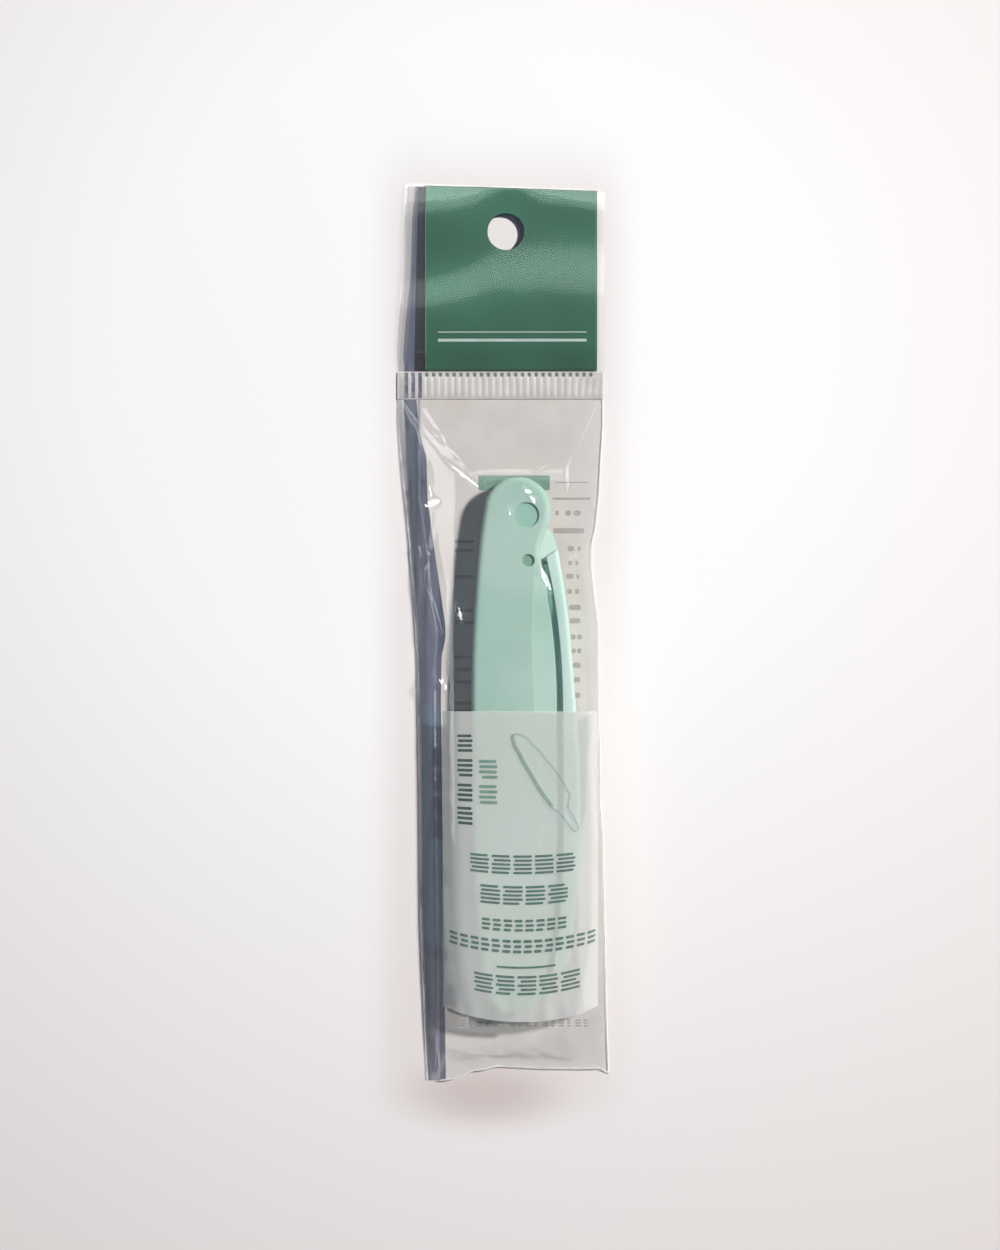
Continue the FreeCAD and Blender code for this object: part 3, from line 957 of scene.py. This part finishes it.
def on_seal(x, y, lift=0):
    """A point of the band's upper side, with ribs that lean over near the right end."""
    share = (x - seal_low.x) / (seal_high.x - seal_low.x)
    lean = lean_reach * ease((share - lean_from) / lean_fade)
    lean = lean * (y - seal_low.y) / (seal_high.y - seal_low.y)
    inside = ease(min(y - seal_low.y - seal_margin, seal_high.y - seal_margin - y) / rib_fade)
    brim = ease(min(y - seal_low.y, seal_high.y - y) / seal_brim)
    brim *= ease((x - seal_low.x) / left_fade)
    valley = (0.5 + 0.5 * math.cos(2 * math.pi * (x - lean) / rib_pitch)) ** 2
    fading = 1 - weak_share * ease((share - weak_from) / weak_fade)
    wave = seal_wave * uneven(x, y, 0.3, 0.3, 2)
    height = seal_high.z - rib_height * inside * valley * fading + wave - seal_sunk
    return Vector((x, y, height * (1 - brim_share + brim_share * brim) + lift))


band = bmesh.new()
band_places = steps(seal_high.y, seal_low.y, seal_pitch)
add_sheet(band, [(y, seal_low.x, seal_high.x) for y in band_places], seal_columns, on_seal)
crushed_film = welded("crushed seal film", 0.85, "#cfc7c2", "#dad3ce")
seal_piece = pouch_piece("ribbed_seal", band, crushed_film, ["top_seal"], stiff)
crushed = seal_piece.modifiers.new("thickness", "SOLIDIFY")
crushed.thickness = seal_thickness * mm
crushed.offset = -1


# The slate painted shadow ends in the first three valleys, and the card's crushed edge shows
# at the top of the others.
def add_valley(bm, number, half_width, bottom):
    """Adds the colour that shows in one valley between the ribs, down to a place."""
    x = rib_pitch * number
    rows = [(y, x - half_width, x + half_width) for y in steps(seal_high.y, bottom, seal_pitch)]
    add_sheet(bm, rows, 4, on_seal, 0.01)


seal_ink = bmesh.new()
for number in (-14, -13, -12):
    add_valley(seal_ink, number, 0.34, seal_low.y + 0.3)
valley_shadow_ink = printed("seal valley painted shadow", "#565b6d", "#8a8b97", 0.75, 0.7)
pouch_piece("slate_seal_painted_shadow", seal_ink, valley_shadow_ink, keep=stiff)

card_edge = bmesh.new()
for number in range(-11, 14):
    add_valley(card_edge, number, 0.3, seal_high.y - 0.75)
crushed_board = printed("crushed green board", "#3f5a50", "#5b7268", 0.6)
pouch_piece("crushed_card_edge", card_edge, crushed_board, keep=stiff)


# Header card: thin coated board printed green all over, with a round hang hole
# punched through. It bows gently in its pocket: a soft roll crosses it below the
# hole, and it falls towards its top edge, except in the middle.
card_low, card_high = (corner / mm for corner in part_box("header_card"))
film_low, film_high = (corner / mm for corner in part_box("header_film"))
hole_x, hole_y, hole_radius = 0.7, 71.9, 3.3
top_fall, fall_from, fall_reach = 1.3, 74, 8
card_board = 0.2
card_tilt, card_middle = 0.02, 63
header_base, header_rise, lowest = 0.32, 0.62, 0.31
header_end = 4
header_keep = 0.4
card_bow, hole_swell, hole_reach = 0.04, 0.04, 40
roll_steep, top_steep = 0.095, 0.13
# Each corner of these lines holds a place across the card, and a place or width along it.
top_width = [(17.0, 2.2), (2.0, 2.2), (-8.0, 2.8), (-19.0, 3.2)]
roll_line = [
    (17.0, 64.5), (8.3, 65.1), (-0.4, 65.1), (-2.5, 64.4), (-4.7, 62.9), (-9.0, 61.7),
    (-13.3, 60.8), (-19.0, 60.2),
]
roll_width = [(17.0, 5.2), (2.0, 5.0), (-8.0, 3.4), (-19.0, 3.0)]
top_line = [
    (17.0, 78.8), (12.0, 79.8), (6.0, 80.6), (1.8, 84.5), (-4.7, 80.2), (-9.0, 79.4),
    (-13.3, 78.9), (-19.0, 78.4),
]


def smoothed(line, x):
    """A line's value at x, with its corners rounded off."""
    return sum(across(line, x + step) for step in (-2, -1, 0, 1, 2)) / 5


def header_height(x, y):
    """How high the header's front face stands over the table."""
    bow = card_bow * uneven(x * 0.05 + y * 0.03, y * 0.05, 1, 1, 4)
    width = smoothed(roll_width, x)
    roll = roll_steep * width * math.tanh((y - smoothed(roll_line, x)) / width)
    short = smoothed(top_width, x)
    fall = top_steep * short * (1 + math.tanh((y - smoothed(top_line, x)) / short))
    near_hole = hole_swell * math.exp(-(((x - hole_x) ** 2 + (y - hole_y) ** 2) / hole_reach))
    rise = ease((y - film_low.y) / header_end) * ease((film_high.y - y + 3) / header_end)
    height = header_rise + card_tilt * (y - card_middle) + bow - roll - fall + near_hole
    return max(header_base + rise * height, lowest)


def on_header(x, y, lift=0):
    """A point of the header, whose top edge falls a little towards the right."""
    fall = top_fall * (x - film_low.x) / (film_high.x - film_low.x) * ease((y - fall_from) / fall_reach)
    return Vector((x, y - fall, header_height(x, y) + lift))


outline_pitch, ring_count, ring_crowding = 0.7, 40, 1.3


def add_holed(bm, corners, lift):
    """Adds a sheet with the hang hole: rings that grow from the hole to the outline."""
    outline = []
    for (x0, y0), (x1, y1) in zip(corners, corners[1:] + corners[:1]):
        count = round(math.hypot(x1 - x0, y1 - y0) / outline_pitch)
        outline += [(x0 + (x1 - x0) * i / count, y0 + (y1 - y0) * i / count) for i in range(count)]
    rings = []
    for j in range(ring_count + 1):
        share = (j / ring_count) ** ring_crowding
        ring = []
        for x, y in outline:
            reach = math.hypot(x - hole_x, y - hole_y)
            rim_x = hole_x + (x - hole_x) / reach * hole_radius
            rim_y = hole_y + (y - hole_y) / reach * hole_radius
            point = on_header(rim_x + (x - rim_x) * share, rim_y + (y - rim_y) * share, lift)
            ring.append(bm.verts.new(point * mm))
        rings.append(ring)
    join_rings(bm, rings, flip=True)


def coated_board(name):
    """Coated board: full-tone pearly green ink, which mirrors a lamp softly in its own green."""
    material, tree = start_finish(name)
    tone = between(tree, noise_of(tree, 16, 1.0), "#1f5540", "#27604a")
    fibre = relief(tree, noise_of(tree, 0.8, 3.0), 0.004)
    board = add(
        tree,
        "BsdfPrincipled",
        {
            "Base Color": tone,
            "Metallic": 0.25,
            "Roughness": 0.24,
            "IOR": 1.5,
            "Specular IOR Level": 0.25,
            "Normal": fibre,
        },
    )
    return finished(material, board)


card = bmesh.new()
card_corners = [
    (card_low.x, card_low.y), (card_high.x, card_low.y),
    (card_high.x, card_high.y), (card_low.x, card_high.y),
]
add_holed(card, card_corners, 0)
green_board = coated_board("varnished green board")
card_piece = pouch_piece(
    "green_header_card", card, green_board, ["header_card"], header_keep
)
board = card_piece.modifiers.new("thickness", "SOLIDIFY")
board.thickness = card_board * mm
board.offset = -1


# Header rules: a thin line over a thicker one, printed across the lower part of the
# card in a pale varnish ink, which lies flat on the board and covers it fully.
rule_left, rule_right = -11.5, 15.2
header_rules = bmesh.new()
for top, depth in ((52.6, 0.5), (53.9, 0.18)):
    rows = [(y, rule_left, rule_right) for y in steps(top, top - depth, 0.2)]
    add_sheet(header_rules, rows, print_columns, on_header, print_lift)
pale_ink = printed("pale varnish ink", "#b3c1b8", "#c0ccc4", 0.95)
pouch_piece("header_rule", header_rules, pale_ink, keep=header_keep)


# Header film: the folded end of the clear polypropylene film, which holds the card
# in its pocket. It shows as a clear margin on both sides of the card. Behind the left
# one lie a grey strip of painted shade and slate and dark strips of painted shadow.
sleeve = bmesh.new()
lean, sleeve_over = 1.5, 0.3
front_lift, back_drop = 0.06, -0.28
sleeve_top = card_high.y + sleeve_over
sleeve_corners = [
    (film_low.x, film_low.y), (film_high.x, film_low.y),
    (film_high.x, sleeve_top), (film_low.x + lean, sleeve_top),
]
add_holed(sleeve, sleeve_corners, front_lift)
add_holed(sleeve, sleeve_corners, back_drop)
sleeve_film = clear_film("flat header film", 0.01, 0.01, 0.12, 14.0, 0.02)
pouch_piece("header_sleeve", sleeve, sleeve_film, ["header_film"], header_keep)

# Each strip lies between two of these edges.
header_edges = [
    [(81.0, -16.9), (65.0, -17.2), (46.6, -18.6)],
    [(81.0, -15.4), (66.0, -16.0), (57.6, -16.5), (50.0, -17.2), (46.6, -17.5)],
    [(81.0, -15.1), (66.0, -15.4), (46.6, -15.8)],
    [(81.0, card_low.x + 0.3), (46.6, card_low.x + 0.3)],
]
long_streaks = (1, 0.05, 1)
slate_shadow_ink = printed("slate header painted shadow", "#4f5467", "#686b80", 0.9, 1.6, 0.4, long_streaks)
dark_shadow_ink = printed("dark header painted shadow", "#0f1722", "#1c2733", 0.95, 1.6, 0.4, long_streaks)
header_inks = [
    ("header_grey_painted_shade", printed("grey header painted shadow", "#84858b", "#95969b", 0.35)),
    ("header_slate_painted_shadow", slate_shadow_ink),
    ("header_dark_painted_shadow", dark_shadow_ink),
]
strip_top, strip_bottom, strip_drop = 80.2, 46.8, -0.27
for (name, ink), outer, inner in zip(header_inks, header_edges, header_edges[1:]):
    strip = bmesh.new()
    strip_rows = [(y, across(outer, y), across(inner, y)) for y in steps(strip_top, strip_bottom, 1)]
    add_sheet(strip, strip_rows, 4, on_header, strip_drop)
    pouch_piece(name, strip, ink, keep=header_keep)

# A dark crescent inside the hang hole is painted shadow: a dark ring on the back layer, its hole set
# off the card's.
off_x, off_y = -0.7, -0.35
back_hole_radius, dark_radius = hole_radius - 0.1, hole_radius + 1.2
back_hole_drop = -0.25
hole_sides = 72


def add_circle(bm, x, y, radius):
    """Adds a ring of points on the header's back layer."""
    ring = []
    for i in range(hole_sides):
        turn = 2 * math.pi * i / hole_sides
        point = on_header(x + radius * math.cos(turn), y + radius * math.sin(turn), back_hole_drop)
        ring.append(bm.verts.new(point * mm))
    return ring


crescent = bmesh.new()
inner_ring = add_circle(crescent, hole_x + off_x, hole_y + off_y, back_hole_radius)
outer_ring = add_circle(crescent, hole_x, hole_y, dark_radius)
join_rings(crescent, [inner_ring, outer_ring], flip=True)
pouch_piece("hang_hole_painted_shadow", crescent, dark_shadow_ink, keep=header_keep)


# Table: a plain pale sweep of matt board, painted greyer away from the middle as a
# painted falloff of light, with a painted warm shade round the pack and below its lower end.
table_reach = 1.5
table_middle = "#fffaf4"
table_corner = "#ddd2ca"
tone_middle = (-0.01, 0.045, 0)
tone_near, tone_far = 0.06, 0.22
shade_across, shade_along = 0.024, 0.010
shade_scale = (1 / shade_across, 1 / shade_along, 1)
shade_at = (0.003 / shade_across, 0.083 / shade_along, 0)
shade_tone = "#d1c3bb"
side_full, side_none = 0.014, 0.027
end_full, end_none = 0.07, 0.095
halo_share = 0.45


def pale_table():
    """Matt pale board: painted greyer away from the object, with a painted warm shade round the pack.
    """
    material, tree = start_finish("pale table")
    place = add(tree, "TexCoord").outputs["Object"]
    away = add(tree, "VectorMath", {0: place, 1: tone_middle}, operation="DISTANCE")
    tone = between(tree, away.outputs["Value"], table_middle, table_corner, tone_near, tone_far)
    # Painted shade below the pack's lower end.
    below = add(tree, "Mapping", {"Vector": place, "Location": shade_at, "Scale": shade_scale})
    near = add(tree, "VectorMath", {0: below.outputs[0]}, operation="LENGTH").outputs["Value"]
    share = add(
        tree,
        "MapRange",
        {"Value": near, "To Min": 1.0, "To Max": 0.0},
        interpolation_type="SMOOTHERSTEP",
    )
    warm = colour(shade_tone)
    shaded = add(tree, "Mix", {0: share.outputs[0], 6: tone, 7: warm}, data_type="RGBA")
    # Painted shade along the pack's sides and ends.
    sides = add(tree, "SeparateXYZ", {0: place})
    near_side = []
    for axis, full, none in (("X", side_full, side_none), ("Y", end_full, end_none)):
        away = add(tree, "Math", {0: sides.outputs[axis]}, operation="ABSOLUTE").outputs[0]
        near_side.append(
            add(
                tree,
                "MapRange",
                {"Value": away, "From Min": full, "From Max": none, "To Min": 1.0, "To Max": 0.0},
                interpolation_type="SMOOTHERSTEP",
            ).outputs[0]
        )
    both = add(tree, "Math", {0: near_side[0], 1: near_side[1]}, operation="MULTIPLY")
    halo = add(tree, "Math", {0: both.outputs[0], 1: halo_share}, operation="MULTIPLY")
    inputs = {0: halo.outputs[0], 6: shaded.outputs[2], 7: warm}
    dimmed = add(tree, "Mix", inputs, data_type="RGBA")
    paint = add(tree, "BsdfDiffuse", {"Color": dimmed.outputs[2]})
    return finished(material, paint)


table = bmesh.new()
table_height = -0.00005
corners = ((-1, -1), (1, -1), (1, 1), (-1, 1))
table.faces.new([table.verts.new((x * table_reach, y * table_reach, table_height)) for x, y in corners])
table_top = make_piece("table", table, pale_table())


# Light: a key softbox from the upper right, which throws the razor's shadow to the
# left, and an even pale room. The seven weaker lamps light nothing: the glossy film
# and the card mirror them, as bands on the header and glints on the folds.
def softbox(name, place, target, width, height, power, mirrored=True):
    """A rectangular lamp in metres and watts, which is either mirrored or lights the object."""
    lamp = bpy.data.lights.new(name, "AREA")
    lamp.shape = "RECTANGLE"
    lamp.size, lamp.size_y, lamp.energy = width, height, power
    holder = bpy.data.objects.new(name, lamp)
    holder.location = place
    aim = (Vector(target) - Vector(place)).to_track_quat("-Z", "Y")
    holder.rotation_euler = aim.to_euler()
    holder.visible_diffuse = not mirrored
    holder.visible_glossy = mirrored
    holder.visible_camera = False
    scene.collection.objects.link(holder)


softbox("key", (1.47, 0.75, 1.80), (0, 0, 0), 0.22, 0.22, 73.5, mirrored=False)
softbox("high panel", (0.0, 0.31, 0.95), (0, 0.07, 0), 0.42, 0.16, 0.63)
softbox("top panel", (-0.02, 0.40, 0.845), (0, 0.08, 0), 0.44, 0.12, 1.2)
softbox("key glow", (0.72, 0.37, 0.89), (0, 0, 0), 0.34, 0.34, 4.0)
softbox("left window", (-0.64, 0.11, 0.55), (0, 0, 0), 0.40, 0.36, 3.6)
softbox("corner window", (-0.394, 0.488, 0.61), (0, 0.03, 0), 0.30, 0.30, 3.0)
softbox("right window", (0.44, 0.42, 0.56), (0, 0, 0), 0.30, 0.30, 1.4)
softbox("low lamp", (-0.509, -0.477, 0.562), (0, 0.02, 0), 0.18, 0.18, 4.0)

# The room is seen and mirrored pale, and fills the shadows with a bluish light.
room = bpy.data.worlds.new("room")
room.use_nodes = True
room.node_tree.nodes.clear()
tree = room.node_tree
ray = add(tree, "LightPath").outputs
rays = {0: ray["Is Glossy Ray"], 1: ray["Is Transmission Ray"]}
mirrored = add(tree, "Math", rays, operation="MAXIMUM")
rays = {0: ray["Is Camera Ray"], 1: mirrored.outputs[0]}
seen = add(tree, "Math", rays, operation="MAXIMUM")
fill = add(tree, "Background", {"Color": colour("#93beff"), "Strength": 0.125})
shown = add(tree, "Background", {"Color": colour("#f1ede9"), "Strength": 1.0})
mixed = add(tree, "MixShader", {0: seen.outputs[0], 1: fill.outputs[0], 2: shown.outputs[0]})
add(tree, "OutputWorld", {"Surface": mixed.outputs[0]})
scene.world = room


# Camera: straight above the pack, as in the photograph, with a long lens.
frame_height = 0.225
lens, film_side = 100, 36
camera_x, camera_y = -0.00036, 0.00117
camera_data = bpy.data.cameras.new("camera")
camera_data.lens = lens
camera_data.sensor_width = film_side
camera = bpy.data.objects.new("camera", camera_data)
camera.location = (camera_x, camera_y, frame_height * lens / film_side)
scene.collection.objects.link(camera)
scene.camera = camera
scene.view_settings.view_transform = "Standard"

bpy.context.view_layer.update()
